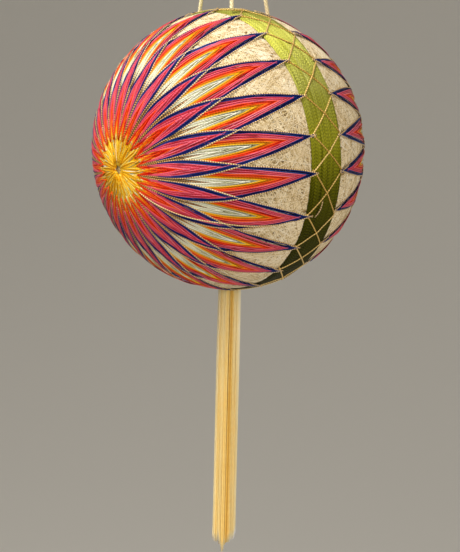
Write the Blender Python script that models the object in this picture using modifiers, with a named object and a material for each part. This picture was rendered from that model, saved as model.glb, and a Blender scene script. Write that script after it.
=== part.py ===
"""A hanging temari ball: a wound thread ball stitched with two chrysanthemum flowers,
a bound belt with a gold lattice, three hanging cords tied in a loop, and a silk tassel.

Metres, +Z up. The origin is the place inside the hanging loop where a hook bears.
The front flower faces -Y, tipped a little downward.
"""

import math

import bmesh
import bpy
from mathutils import Matrix, Vector

MM = 0.001
MERGE_DISTANCE = 0.01 * MM          # points nearer than this are one
GAP = 0.3 * MM                      # between pieces

# The ball. Its stitched axis runs from the front flower's centre to the back one's.
BALL_RADIUS = 50.0 * MM             # across the belt, over the stitching
BALL_POLAR = 48.2 * MM              # along the stitched axis, over the stitching
STITCH_DEPTH = 1.0 * MM             # how far the stitching stands over the wound thread
WRAP_RADIUS = BALL_RADIUS - STITCH_DEPTH
WRAP_POLAR = BALL_POLAR - STITCH_DEPTH
WRAP_RINGS = 18
AXIS_DROP = math.radians(3.75)      # the front flower looks this far below level
BALL_DROP = 134.0 * MM              # from the hook's place down to the ball's centre

# The flowers: one petal on each guide line.
PETALS = 24
PETAL_PITCH = math.tau / PETALS
FIRST_LINE = math.radians(19.62)    # the first guide line, clockwise from the top
PETAL_TIP = math.radians(81.0)      # measured at the ball's centre from the flower's middle
PETAL_FORK = math.radians(51.5)     # where neighbouring petals part
FLOWER_SEAT = 0.52 * MM             # the flower's underside over the wound thread
FLOWER_EDGE = 0.40 * MM             # thickness at the outline
FLOWER_CROWN = 1.05 * MM            # thickness of the crossed rows round the middle
GROOVE_DEPTH = 0.55 * MM            # bare slot along each guide line
GROOVE_FROM = math.radians(13.0)
GROOVE_TO = math.radians(38.0)
COLUMNS_A_PETAL = 4
HEART_RINGS = 6                     # from the middle to the fork
PETAL_RINGS = 3                     # from the fork to the tip

# The belt round the middle and the gold threads over it.
BELT_FRONT = math.radians(81.7)
BELT_BACK = math.radians(97.9)
BELT_SEAT = 0.45 * MM
BELT_TOP = 1.05 * MM
BELT_ROUND = math.radians(0.5)
BELT_SHOULDER = 0.2 * MM            # how much lower its rounded edges are
LATTICE_FRONT = math.radians(82.5)
LATTICE_BACK = math.radians(97.5)
LATTICE_WIDE = 0.5 * MM
LATTICE_SLACK = 0.1 * MM
LATTICE_LIFT = BELT_TOP + GAP + LATTICE_WIDE / 2 + LATTICE_SLACK
LATTICE_HUMP = 0.95 * MM            # the second thread's rise where it crosses the first
LATTICE_SHARES_A = (0.0, 0.25, 0.5, 0.75)   # points along each leg
LATTICE_SHARES_B = (0.0, 0.3, 0.5, 0.7)

# The hanging cords, their knot and its loop. Heights are over the ball's centre.
CORD_WIDE = 1.5 * MM
CORDS_MEET = 120.5 * MM             # where the three lines of pull would meet
CORD_REACH = 15.5 * MM              # from the vertical through the centre to a cord's foot
CORD_TURNS = {"front": 51.8, "right": 163.8, "left": -85.2}   # degrees round from -Y
CORD_FOOT_GAP = 0.8 * MM
CORD_TOP_GAP = 0.5 * MM
CORD_STEP = 3 * CORD_WIDE
FOOT_SEARCH_STEPS = 40
KNOT_BOTTOM = 116.0 * MM
KNOT_MIDDLE = 118.6 * MM
KNOT_WIDE = 2.9 * MM
KNOT_TALL = 3.4 * MM
KNOT_RIDGES = 3
KNOT_RIDGE_HEIGHT = 0.16
KNOT_RIDGE_TWIST = 3.0              # radians from the knot's middle to its top
KNOT_SEGMENTS = 18
KNOT_RINGS = 10
LOOP_WIDE = 7.5 * MM
LOOP_STEPS = 22
LOOP_CROWN_ROUND = 0.8
LOOP_BELLY = 0.25
LOOP_LEG_PART = 0.4                 # cord widths from the middle to each leg's root

# The tassel. Its locks hang from a bound head that is hidden under the ball.
TASSEL_TOP = 52.3 * MM              # below the ball's centre
TASSEL_HEAD = 3.0 * MM
TASSEL_REACH = 157.0 * MM           # the longest lock's tip below the ball's centre
TASSEL_WIDE = 9.4 * MM
TASSEL_DEEP = 7.4 * MM
TASSEL_TURN = math.radians(48.6)    # its broad side, round from -Y
TASSEL_LEAN = -0.0135               # sideways drift of the locks for their length
TASSEL_SHIFT = 0.9 * MM
TASSEL_LOCKS = (8, 6)
LOCK_GAP = 0.24 * MM
LOCK_LEVELS = (0.12, 0.35, 0.6, 0.82, 1.0)
LOCK_RAGGED = 5.0 * MM
LOCK_EDGE_SHARE = 0.6               # the part of the ragged length that goes with the rim
LOCK_TURN = 2.399                   # radians from one lock's waver to the next

# Colour, roughness and metallic value of each thread.
CREAM = ("cream thread", (0.72, 0.60, 0.40, 1.0), 0.85, 0.0)
ROSE = ("rose and navy thread", (0.70, 0.10, 0.13, 1.0), 0.6, 0.0)
OLIVE = ("olive thread", (0.17, 0.20, 0.035, 1.0), 0.6, 0.0)
GOLD = ("gold thread", (0.80, 0.58, 0.22, 1.0), 0.35, 0.6)
CORD = ("pale gold cord", (0.80, 0.68, 0.38, 1.0), 0.6, 0.0)
SILK = ("golden silk", (0.93, 0.55, 0.14, 1.0), 0.45, 0.0)


def clear_scene():
    for thing in list(bpy.data.objects):
        bpy.data.objects.remove(thing, do_unlink=True)


def new_collection(name):
    group = bpy.data.collections.new(name)
    bpy.context.scene.collection.children.link(group)
    return group


def thread_material(spec):
    """A Principled material for one kind of thread, made once."""
    name, colour, roughness, metallic = spec
    material = bpy.data.materials.get(name)
    if material is None:
        material = bpy.data.materials.new(name)
        material.use_nodes = True
        shader = material.node_tree.nodes["Principled BSDF"]
        shader.inputs["Base Color"].default_value = colour
        shader.inputs["Roughness"].default_value = roughness
        shader.inputs["Metallic"].default_value = metallic
    return material


def face_outwards(bm):
    """Make the faces of one closed body point out of it."""
    bmesh.ops.recalc_face_normals(bm, faces=bm.faces)
    if bm.calc_volume(signed=True) < 0.0:
        bmesh.ops.reverse_faces(bm, faces=bm.faces)


def add_mesh(bm, name, group, spec, frame):
    """Turn a bmesh into a smooth-shaded object placed by frame."""
    mesh = bpy.data.meshes.new(name)
    bm.to_mesh(mesh)
    bm.free()
    thing = bpy.data.objects.new(name, mesh)
    group.objects.link(thing)
    thing.matrix_world = frame
    mesh.materials.append(thread_material(spec))
    mesh.shade_smooth()
    return thing


def add_tube(points, name, group, spec, radius, resolution, frame, closed=False):
    """A thread or cord: a curve through points with a round bevel and filled caps."""
    curve = bpy.data.curves.new(name, "CURVE")
    curve.dimensions = "3D"
    curve.bevel_depth = radius
    curve.bevel_resolution = resolution
    curve.use_fill_caps = True
    spline = curve.splines.new("POLY")
    spline.points.add(len(points) - 1)
    for place, point in zip(spline.points, points):
        place.co = (*point, 1.0)
    spline.use_cyclic_u = closed
    thing = bpy.data.objects.new(name, curve)
    group.objects.link(thing)
    thing.matrix_world = frame
    curve.materials.append(thread_material(spec))
    return thing


def ball_frame():
    """The ball's own axes: X up, Y to the right, Z from the front flower to the back one."""
    up = Vector((0.0, -math.sin(AXIS_DROP), math.cos(AXIS_DROP)))
    right = Vector((1.0, 0.0, 0.0))
    back = Vector((0.0, math.cos(AXIS_DROP), math.sin(AXIS_DROP)))
    turn = Matrix((up, right, back)).transposed().to_4x4()
    return Matrix.Translation((0.0, 0.0, -BALL_DROP)) @ turn


def on_ball(theta, phi, lift):
    """A point lift above the wound thread, theta from the front flower's middle and
    phi clockwise from the top, in the ball's own axes."""
    side = (WRAP_RADIUS + lift) * math.sin(theta)
    return Vector((side * math.cos(phi), side * math.sin(phi), -(WRAP_POLAR + lift) * math.cos(theta)))


def make_wound_ball(group):
    """The core with its wound cream thread, a little flat along the stitched axis."""
    bm = bmesh.new()
    bmesh.ops.create_uvsphere(bm, u_segments=2 * PETALS, v_segments=WRAP_RINGS, radius=1.0)
    bmesh.ops.rotate(bm, verts=bm.verts, matrix=Matrix.Rotation(FIRST_LINE, 3, "Z"))
    bmesh.ops.scale(bm, verts=bm.verts, vec=(WRAP_RADIUS, WRAP_RADIUS, WRAP_POLAR))
    return add_mesh(bm, "wound_ball", group, CREAM, ball_frame())


def flower_thickness(share, across, theta):
    """Thickness of the stitching: share runs from the middle (0) to the outline (1), and
    across from a guide line (0) to halfway between two lines (0.5)."""
    crown = FLOWER_EDGE + (FLOWER_CROWN - FLOWER_EDGE) * (1.0 - share ** 3)
    inside = GROOVE_FROM < theta < GROOVE_TO
    beside_line = max(0.0, 1.0 - 4.0 * across)
    return crown - (GROOVE_DEPTH * beside_line if inside else 0.0)


def petal_place(u, v):
    """Where a point of the flat grid goes on a petal: u is -0.5 to 0.5 across it and v is 0
    to 1 from the flower's middle to the tip. Gives theta and the guide lines off the petal's
    own one. Past the fork the petal narrows to its tip."""
    ring = v * (HEART_RINGS + PETAL_RINGS)
    if ring <= HEART_RINGS:
        return PETAL_FORK * ring / HEART_RINGS, u
    share = (ring - HEART_RINGS) / PETAL_RINGS
    return PETAL_FORK + (PETAL_TIP - PETAL_FORK) * share, u * (1.0 - share)


def make_flower(name, group, front):
    """One 24-petalled flower as a star-shaped shell over half of the ball.

    Each petal is a flat grid laid on the ball, merged with its neighbours up to the fork.
    The shell gets its thickness by an extrusion, and lifts tells the two skins apart."""
    bm = bmesh.new()
    lifts = bm.verts.layers.float.new("thickness")
    lines = bm.verts.layers.float.new("line")
    thetas = bm.verts.layers.float.new("theta")
    rings = HEART_RINGS + PETAL_RINGS
    for petal in range(PETALS):
        made = bmesh.ops.create_grid(bm, x_segments=COLUMNS_A_PETAL, y_segments=rings, size=0.5)
        for vert in made["verts"]:
            theta, line = petal_place(vert.co.x, vert.co.y + 0.5)
            vert[thetas] = theta
            vert[lines] = petal + line
            vert[lifts] = flower_thickness(vert.co.y + 0.5, abs(line), theta)
            vert.co = on_ball(theta, FIRST_LINE + vert[lines] * PETAL_PITCH, 0.0)
    bmesh.ops.remove_doubles(bm, verts=bm.verts, dist=MERGE_DISTANCE)
    grown = bmesh.ops.extrude_face_region(bm, geom=bm.faces[:])
    outer = {item for item in grown["geom"] if isinstance(item, bmesh.types.BMVert)}
    for vert in bm.verts:
        lift = FLOWER_SEAT + (vert[lifts] if vert in outer else 0.0)
        place = on_ball(vert[thetas], FIRST_LINE + vert[lines] * PETAL_PITCH, lift)
        if not front:
            place.z = -place.z
        vert.co = place
    face_outwards(bm)
    return add_mesh(bm, name, group, ROSE, ball_frame())


def make_belt(group):
    """The bound belt: its section turned about the stitched axis."""
    section = [
        (BELT_BACK, BELT_SEAT),
        (BELT_BACK - BELT_ROUND / 2, BELT_TOP - BELT_SHOULDER),
        (BELT_BACK - 3 * BELT_ROUND, BELT_TOP),
        (math.pi / 2, BELT_TOP),
        (BELT_FRONT + 3 * BELT_ROUND, BELT_TOP),
        (BELT_FRONT + BELT_ROUND / 2, BELT_TOP - BELT_SHOULDER),
        (BELT_FRONT, BELT_SEAT),
        (math.pi / 2, BELT_SEAT),
    ]
    bm = bmesh.new()
    verts = [bm.verts.new(on_ball(theta, 0.0, lift)) for theta, lift in section]
    for first, second in zip(verts, verts[1:] + verts[:1]):
        bm.edges.new((first, second))
    belt = add_mesh(bm, "belt", group, OLIVE, ball_frame())
    turned = belt.modifiers.new("turned", "SCREW")
    turned.axis = "Z"
    turned.steps = 2 * PETALS
    turned.render_steps = 2 * PETALS
    turned.use_merge_vertices = True
    turned.merge_threshold = MERGE_DISTANCE
    return belt


def lattice_point(line, start, lift):
    """A point of a zigzag gold thread, line guide lines on from the first one. The thread
    turns at the belt's front edge on the lines that start says, and behind between them."""
    step = int(math.floor(line))
    ends = (LATTICE_FRONT, LATTICE_BACK) if (step + start) % 2 == 0 else (LATTICE_BACK, LATTICE_FRONT)
    theta = ends[0] + (ends[1] - ends[0]) * (line - step)
    return on_ball(theta, FIRST_LINE + line * PETAL_PITCH, lift)


def make_lattice_thread(name, group, start, hump, shares):
    """One closed gold zigzag round the belt. The second one rises by hump at each crossing."""
    points = []
    for line in range(PETALS):
        for share in shares:
            rise = hump if share == 0.5 else 0.0
            points.append(lattice_point(line + share, start, LATTICE_LIFT + rise))
    return add_tube(points, name, group, GOLD, LATTICE_WIDE / 2, 0, ball_frame(), closed=True)


def over_centre(x, y, height):
    """A point given from the ball's centre, in the part's own frame."""
    return Vector((x, y, height - BALL_DROP))


def cord_line(turn):
    """A cord's line of pull: its foot on the stitching and its unit direction upward. The
    foot is found by halving the upright stretch that crosses the stitching's surface."""
    bearing = math.radians(turn)
    x = CORD_REACH * math.sin(bearing)
    y = -CORD_REACH * math.cos(bearing)
    back = Vector((0.0, math.cos(AXIS_DROP), math.sin(AXIS_DROP)))
    meet = over_centre(0.0, 0.0, CORDS_MEET)
    low = over_centre(x, y, 0.8 * BALL_RADIUS)
    high = over_centre(x, y, 1.2 * BALL_RADIUS)
    for _ in range(FOOT_SEARCH_STEPS):
        foot = (low + high) / 2
        local = foot - over_centre(0.0, 0.0, 0.0)
        along = local.dot(back)
        around = (local - along * back).length
        outside = (around / BALL_RADIUS) ** 2 + (along / BALL_POLAR) ** 2 > 1.0
        low, high = (low, foot) if outside else (foot, high)
    return foot, (meet - foot).normalized()


def make_cord(side, group):
    """One taut hanging cord, from just over the stitching to just under the knot."""
    foot, pull = cord_line(CORD_TURNS[side])
    start = foot + pull * (CORD_FOOT_GAP + 0.5 * CORD_WIDE)
    top = over_centre(0.0, 0.0, KNOT_BOTTOM - CORD_TOP_GAP)
    length = (top.z - start.z) / pull.z
    count = max(2, round(length / CORD_STEP) + 1)
    points = [start + pull * (length * index / (count - 1)) for index in range(count)]
    return add_tube(points, "hang_cord_" + side, group, CORD, CORD_WIDE / 2, 2, Matrix.Identity(4))


def loop_points():
    """The hanging loop's middle line: a teardrop whose crown is half a cord over the origin."""
    crown = over_centre(0.0, 0.0, BALL_DROP + CORD_WIDE / 2)
    root = over_centre(0.0, 0.0, KNOT_MIDDLE)
    points = []
    for index in range(LOOP_STEPS + 1):
        share = index / LOOP_STEPS
        height = root.z + (crown.z - root.z) * math.sin(math.pi * share) ** LOOP_CROWN_ROUND
        wave = math.sin(math.tau * share)
        side = LOOP_WIDE / 2 * wave * (1.0 - LOOP_BELLY + LOOP_BELLY * abs(wave))
        leg = 1.0 if share < 0.5 else -1.0
        side += CORD_WIDE * LOOP_LEG_PART * leg * abs(math.cos(math.pi * share))
        points.append(Vector((side * math.cos(TASSEL_TURN), side * math.sin(TASSEL_TURN), height)))
    return points


def make_knot(group, helpers):
    """The knot that gathers the cords, a ridged barrel flat underneath, joined to its loop."""
    bm = bmesh.new()
    bmesh.ops.create_uvsphere(bm, u_segments=KNOT_SEGMENTS, v_segments=KNOT_RINGS, radius=1.0)
    for vert in bm.verts:
        turn = math.atan2(vert.co.y, vert.co.x)
        ridge = 1.0 + KNOT_RIDGE_HEIGHT * math.cos(KNOT_RIDGES * turn + KNOT_RIDGE_TWIST * vert.co.z)
        height = max(KNOT_MIDDLE + KNOT_TALL * vert.co.z, KNOT_BOTTOM)
        radius = KNOT_WIDE * ridge
        vert.co = over_centre(vert.co.x * radius, vert.co.y * radius, height)
    bmesh.ops.dissolve_degenerate(bm, edges=bm.edges, dist=MERGE_DISTANCE)
    knot = add_mesh(bm, "hang_knot", group, CORD, Matrix.Identity(4))
    tube = add_tube(loop_points(), "loop_tube", helpers, CORD, CORD_WIDE / 2, 1, Matrix.Identity(4))
    solid = bpy.data.meshes.new_from_object(tube.evaluated_get(bpy.context.evaluated_depsgraph_get()))
    bpy.data.objects.remove(tube, do_unlink=True)
    bm = bmesh.new()
    bm.from_mesh(solid)
    bmesh.ops.remove_doubles(bm, verts=bm.verts, dist=MERGE_DISTANCE)
    bm.to_mesh(solid)
    bm.free()
    loop = bpy.data.objects.new("loop_solid", solid)
    helpers.objects.link(loop)
    loop.hide_render = True
    loop.display_type = "WIRE"
    joined = knot.modifiers.new("loop", "BOOLEAN")
    joined.operation = "UNION"
    joined.object = loop
    return knot


def lock_length(x, y, index):
    """How far a lock hangs below the head: the outer ones end a little higher."""
    longest = TASSEL_REACH - TASSEL_TOP - TASSEL_HEAD
    edge = (x / (TASSEL_WIDE / 2)) ** 2
    waver = 0.5 + 0.5 * math.sin(index * LOCK_TURN + 3.0 * y / TASSEL_DEEP)
    return longest - LOCK_RAGGED * (LOCK_EDGE_SHARE * edge + (1.0 - LOCK_EDGE_SHARE) * waver)


def make_tassel(group):
    """A bound head with straight locks: the head's underside is parted into cells, and
    each cell is drawn down in steps to its own length."""
    across, deep = TASSEL_LOCKS
    bm = bmesh.new()
    bmesh.ops.create_grid(bm, x_segments=across, y_segments=deep, size=1.0)
    underside = -TASSEL_TOP - TASSEL_HEAD
    for vert in bm.verts:
        x, y = vert.co.x, vert.co.y
        vert.co.x = TASSEL_WIDE / 2 * x * math.sqrt(1.0 - y * y / 2)
        vert.co.y = TASSEL_DEEP / 2 * y * math.sqrt(1.0 - x * x / 2)
        vert.co.z = underside
    grown = bmesh.ops.extrude_face_region(bm, geom=bm.faces[:])
    for item in grown["geom"]:
        if isinstance(item, bmesh.types.BMVert):
            item.co.z = -TASSEL_TOP
    under = [face for face in bm.faces if abs(face.calc_center_median().z - underside) < MERGE_DISTANCE]
    bmesh.ops.recalc_face_normals(bm, faces=bm.faces)
    bmesh.ops.inset_individual(bm, faces=under, thickness=LOCK_GAP / 2, use_even_offset=True)
    roots = [(face, face.calc_center_median().copy()) for face in under]
    drawn = [face for face, _ in roots]
    reach = [lock_length(root.x, root.y, index) for index, (_, root) in enumerate(roots)]
    previous = 0.0
    for level in LOCK_LEVELS:
        drawn = bmesh.ops.extrude_discrete_faces(bm, faces=drawn)["faces"]
        for face, length in zip(drawn, reach):
            down = (level - previous) * length
            drift = TASSEL_LEAN * down
            for vert in face.verts:
                vert.co += Vector((drift, 0.0, -down))
        previous = level
    face_outwards(bm)
    turn = Matrix.Rotation(TASSEL_TURN, 4, "Z")
    place = Matrix.Translation((0.0, 0.0, -BALL_DROP))
    return add_mesh(bm, "tassel", group, SILK, place @ turn @ Matrix.Translation((TASSEL_SHIFT, 0.0, 0.0)))


def main():
    clear_scene()
    group = new_collection("temari_ball")
    helpers = new_collection("helpers")
    make_wound_ball(group)
    make_flower("kiku_front", group, front=True)
    make_flower("kiku_back", group, front=False)
    make_belt(group)
    make_lattice_thread("belt_thread_a", group, 0, 0.0, LATTICE_SHARES_A)
    make_lattice_thread("belt_thread_b", group, 1, LATTICE_HUMP, LATTICE_SHARES_B)
    for side in CORD_TURNS:
        make_cord(side, group)
    make_knot(group, helpers)
    make_tassel(group)


main()
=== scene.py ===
"""Looks of a hanging temari ball: wound thread, stitched flowers, belt, gold lattice,
hanging cords with their knot, and a silk tassel.

Laid out as a Blender add-on and run as a script. Sizes are metres unless a name says
millimetres (mm), lines (the steps between the ball's 24 guide lines) or degrees.
"""
import math
from collections import namedtuple

import bpy
import numpy as np
from bpy.props import FloatProperty, FloatVectorProperty, IntProperty, PointerProperty
from mathutils import Matrix, Vector


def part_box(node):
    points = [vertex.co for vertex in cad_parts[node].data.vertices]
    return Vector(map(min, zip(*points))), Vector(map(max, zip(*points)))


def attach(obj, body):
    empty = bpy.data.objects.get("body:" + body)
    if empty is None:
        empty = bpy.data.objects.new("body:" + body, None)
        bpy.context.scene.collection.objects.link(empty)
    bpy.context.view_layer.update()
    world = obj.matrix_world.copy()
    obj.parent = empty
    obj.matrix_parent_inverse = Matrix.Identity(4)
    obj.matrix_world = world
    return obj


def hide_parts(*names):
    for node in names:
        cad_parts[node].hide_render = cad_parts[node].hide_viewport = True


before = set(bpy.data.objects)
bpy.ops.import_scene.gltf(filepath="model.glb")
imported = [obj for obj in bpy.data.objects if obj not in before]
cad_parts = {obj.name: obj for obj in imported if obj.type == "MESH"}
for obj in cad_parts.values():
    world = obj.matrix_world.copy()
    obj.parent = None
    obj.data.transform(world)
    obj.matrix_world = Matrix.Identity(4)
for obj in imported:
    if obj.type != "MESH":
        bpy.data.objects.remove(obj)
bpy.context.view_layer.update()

bl_info = {
    "name": "Temari Ball",
    "version": (1, 0, 0),
    "blender": (4, 5, 0),
    "location": "3D View > Sidebar > Temari",
    "description": "Stitches a hanging temari ball thread by thread",
    "category": "Add Mesh",
}

MM = 0.001
BODY = "root"


# Where the ball is and how it is turned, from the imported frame.

BALL_LOW, BALL_HIGH = (np.array(corner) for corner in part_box("wound_ball"))
BALL_CENTRE = (BALL_LOW + BALL_HIGH) / 2
AXIS_DROP = math.radians(3.75)
UP = np.array((0.0, -math.sin(AXIS_DROP), math.cos(AXIS_DROP)))
RIGHT = np.array((1.0, 0.0, 0.0))
BACK = np.array((0.0, math.cos(AXIS_DROP), math.sin(AXIS_DROP)))
PETALS = 24
PITCH = math.tau / PETALS
FIRST_LINE = math.radians(19.62)


class BallSettings(bpy.types.PropertyGroup):
    """Sizes of the wound ball."""

    wrap_radius: FloatProperty(
        name="Wound radius", description="Across the belt, under the stitching",
        default=49.0 * MM, unit="LENGTH", precision=4)
    wrap_polar: FloatProperty(
        name="Wound half height", description="Along the stitched axis, under the stitching",
        default=47.2 * MM, unit="LENGTH", precision=4)
    loose_threads: IntProperty(
        name="Loose turns", description="Turns of cream thread wound over the core", default=1080)
    loose_wide: FloatProperty(
        name="Loose thread", description="Width of the cream thread",
        default=0.30 * MM, unit="LENGTH", precision=5)
    cream: FloatVectorProperty(
        name="Cream", description="Colour of the wound thread", subtype="COLOR",
        default=(0.90, 0.77, 0.52))
    # Painted shade: the colour in the grooves between the plies of the wound thread and its core.
    cream_shade: FloatVectorProperty(
        name="Cream shade", description="Colour between the wound threads", subtype="COLOR",
        default=(0.55, 0.36, 0.14))


class FlowerSettings(bpy.types.PropertyGroup):
    """Thread sizes and colours of the stitched flowers."""

    thread_wide: FloatProperty(
        name="Thread width", description="Width of a stitched row",
        default=0.39 * MM, unit="LENGTH", precision=5)
    thread_high: FloatProperty(
        name="Thread height", description="Height of a stitched row, pressed a little flat",
        default=0.30 * MM, unit="LENGTH", precision=5)
    seat: FloatProperty(
        name="Seat", description="Where the rows lie over the wound radius",
        default=0.45 * MM, unit="LENGTH", precision=5)
    white: FloatVectorProperty(name="White", description="Innermost rows", subtype="COLOR",
                               default=(0.84, 0.84, 0.63))
    yellow: FloatVectorProperty(name="Yellow", description="Yellow rows", subtype="COLOR",
                                default=(0.98, 0.55, 0.012))
    orange: FloatVectorProperty(name="Orange", description="Orange rows", subtype="COLOR",
                                default=(0.95, 0.22, 0.006))
    red: FloatVectorProperty(name="Red", description="Vermilion rows", subtype="COLOR",
                             default=(0.93, 0.055, 0.004))
    pink: FloatVectorProperty(name="Pink", description="Rose rows", subtype="COLOR",
                              default=(0.84, 0.115, 0.185))
    blue: FloatVectorProperty(name="Blue", description="Navy rows", subtype="COLOR",
                              default=(0.003, 0.018, 0.165))
    gold: FloatVectorProperty(name="Gold", description="Gold outline row", subtype="COLOR",
                              default=(0.95, 0.66, 0.30))


class BeltSettings(bpy.types.PropertyGroup):
    """The belt's turns and the gold lattice over it."""

    turns: IntProperty(name="Turns", description="Parallel turns of thread", default=44)
    front: FloatProperty(name="Front edge", description="Angle from the front flower's middle",
                         default=math.radians(81.5), unit="ROTATION")
    back: FloatProperty(name="Back edge", description="Angle from the front flower's middle",
                        default=math.radians(98.0), unit="ROTATION")
    top: FloatProperty(name="Top", description="The belt's surface over the wound radius",
                       default=1.0 * MM, unit="LENGTH", precision=5)
    olive: FloatVectorProperty(name="Olive", description="Colour of the belt", subtype="COLOR",
                               default=(0.34, 0.34, 0.022))
    lattice_wide: FloatProperty(name="Lattice thread", description="Width of the gold thread",
                                default=0.5 * MM, unit="LENGTH", precision=5)
    lattice_gold: FloatVectorProperty(name="Lattice gold", description="Colour of the lattice",
                                      subtype="COLOR", default=(0.99, 0.71, 0.24))


class HangingSettings(bpy.types.PropertyGroup):
    """The cords, the knot and the tassel."""

    cord_wide: FloatProperty(name="Cord", description="Width of a hanging cord",
                             default=1.5 * MM, unit="LENGTH", precision=4)
    cord_colour: FloatVectorProperty(name="Cord colour", description="Pale gold", subtype="COLOR",
                                     default=(0.87, 0.76, 0.46))
    strands: IntProperty(name="Strands", description="Silk strands in the tassel", default=420)
    strand_wide: FloatProperty(name="Strand", description="Width of a silk strand",
                               default=0.42 * MM, unit="LENGTH", precision=5)
    silk: FloatVectorProperty(name="Silk", description="Colour of the tassel", subtype="COLOR",
                              default=(1.0, 0.72, 0.24))
    # Painted shade: the colour in the grooves between the plies of each silk strand.
    silk_shade: FloatVectorProperty(name="Silk shade", description="Colour deep in the tassel",
                                    subtype="COLOR", default=(0.80, 0.42, 0.10))


# Points on the ball.

def on_ball(theta, phi, lift):
    """Points of a flattened sphere: the wound radii grown by lift, theta measured from the
    front flower's middle and phi clockwise from the top."""
    ball = bpy.context.scene.temari_ball
    side = (ball.wrap_radius + lift) * np.sin(theta)
    depth = (ball.wrap_polar + lift) * np.cos(theta)
    local = np.stack([side * np.cos(phi), side * np.sin(phi), -depth], axis=-1)
    return BALL_CENTRE + local @ np.array([UP, RIGHT, BACK])


def outward(theta, phi):
    """The ball's outward direction: the gradient of the flattened sphere, made one long."""
    ball = bpy.context.scene.temari_ball
    local = np.stack([np.sin(theta) * np.cos(phi) / ball.wrap_radius,
                      np.sin(theta) * np.sin(phi) / ball.wrap_radius,
                      -np.cos(theta) / ball.wrap_polar], axis=-1)
    return unit(local @ np.array([UP, RIGHT, BACK]))


def unit(vectors):
    """Each vector divided by its length."""
    return vectors / np.maximum(np.linalg.norm(vectors, axis=-1, keepdims=True), 1e-12)


# Threads as meshes.

def round_profile(sides, wide, high=None):
    """An ellipse of sides points, counter-clockwise from the right."""
    angle = np.arange(sides) * math.tau / sides
    return np.stack([wide / 2 * np.cos(angle), (high or wide) / 2 * np.sin(angle)], axis=1)


def laid_profile(wide, high):
    """A thread lying on what is below it: round on top, flat underneath, five sides."""
    across = np.array((0.5, 0.36, 0.0, -0.36, -0.5)) * wide
    rise = np.array((-0.28, 0.32, 0.5, 0.32, -0.28)) * high
    return np.stack([across, rise], axis=1)


def run_tangents(points, runs):
    """The direction of each point from its neighbours in the same run: next minus previous."""
    same = runs[1:] == runs[:-1]
    ahead = np.zeros_like(points)
    steps = (points[1:] - points[:-1]) * same[:, None]
    ahead[:-1] += steps
    ahead[1:] += steps
    return unit(ahead)


PLY_STARTS = 5 * MM                 # how far the plies of one thread start off another's


def thread_mesh(name, points, ups, runs, profile, tint, closed=False, under=True):
    """Carries a profile along many threads at once. Each ring of the profile stands square to
    its thread: side is direction x up, and up is side x direction. Rings of the same run are
    joined by quads, and a run is closed on itself or gets a flat cap at each end. Where under is
    off, the face between the last and the first profile point, which lies down, is left out."""
    count, sides = len(points), len(profile)
    starts = np.flatnonzero(np.r_[True, runs[1:] != runs[:-1]])
    ends = np.r_[starts[1:], count] - 1
    tangent = run_tangents(points, runs)
    if closed:
        tangent[starts] = unit(points[starts + 1] - points[ends])
        tangent[ends] = unit(points[starts] - points[ends - 1])
    side = unit(np.cross(tangent, ups))
    up = np.cross(side, tangent)
    verts = points[:, None] + side[:, None] * profile[None, :, :1] + up[:, None] * profile[None, :, 1:]
    step = np.zeros(count)
    step[1:] = np.linalg.norm(points[1:] - points[:-1], axis=1) * (runs[1:] == runs[:-1])
    along = np.cumsum(step) + PLY_STARTS * np.modf(np.sin(runs * 12.9898) * 43758.5453)[0]

    first = np.flatnonzero(runs[1:] == runs[:-1])
    second = first + 1
    if closed:
        first, second = np.r_[first, ends], np.r_[second, starts]
    j = np.arange(sides)
    a = j if under else j[:-1]
    b = (a + 1) % sides
    quads = np.stack([first[:, None] * sides + a, second[:, None] * sides + a,
                      second[:, None] * sides + b, first[:, None] * sides + b], axis=-1).reshape(-1, 4)
    loops, totals = [quads.ravel()], [np.full(len(quads), 4)]
    if not closed:
        loops += [(starts[:, None] * sides + j).ravel(), (ends[:, None] * sides + j[::-1]).ravel()]
        totals.append(np.full(2 * len(starts), sides))
    totals = np.concatenate(totals)
    smooth = np.arange(len(totals)) < len(quads)
    thing = mesh_object(name, verts.reshape(-1, 3), np.concatenate(loops), totals, smooth)
    point_attribute(thing, "along", np.repeat(along / MM, sides))
    point_attribute(thing, "around", np.tile(j / sides, count))
    point_attribute(thing, "tint", np.repeat(tint, sides))
    return thing


def mesh_object(name, verts, loops, totals, smooth=None):
    """A mesh object at the origin, from whole arrays of points and face corners. Its faces are
    smooth, but for those that smooth leaves out."""
    mesh = bpy.data.meshes.new(name)
    mesh.vertices.add(len(verts))
    mesh.vertices.foreach_set("co", np.ascontiguousarray(verts, dtype=np.float32).ravel())
    mesh.loops.add(len(loops))
    mesh.loops.foreach_set("vertex_index", loops.astype(np.int32))
    mesh.polygons.add(len(totals))
    mesh.polygons.foreach_set("loop_start", np.r_[0, np.cumsum(totals)[:-1]].astype(np.int32))
    mesh.polygons.foreach_set("use_smooth", np.ones(len(totals), dtype=bool) if smooth is None else smooth)
    mesh.update(calc_edges=True)
    thing = bpy.data.objects.new(name, mesh)
    bpy.context.scene.collection.objects.link(thing)
    return thing


def grid_object(name, points, wrap_columns=True):
    """A surface from a grid of points, rows by columns, its columns closed round."""
    rows, columns = points.shape[:2]
    j = np.arange(columns if wrap_columns else columns - 1)
    k = (j + 1) % columns
    i = np.arange(rows - 1)[:, None]
    quads = np.stack([i * columns + j, i * columns + k, (i + 1) * columns + k, (i + 1) * columns + j], axis=-1)
    quads = quads.reshape(-1, 4)
    return mesh_object(name, points.reshape(-1, 3), quads.ravel(), np.full(len(quads), 4))


def point_attribute(thing, name, values):
    layer = thing.data.attributes.new(name, "FLOAT", "POINT")
    layer.data.foreach_set("value", np.ascontiguousarray(values, dtype=np.float32))


def dress(thing, material, node):
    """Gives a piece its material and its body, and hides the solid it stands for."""
    thing.data.materials.append(material)
    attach(thing, BODY)
    if node:
        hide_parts(node)
    return thing


# Materials.

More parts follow.
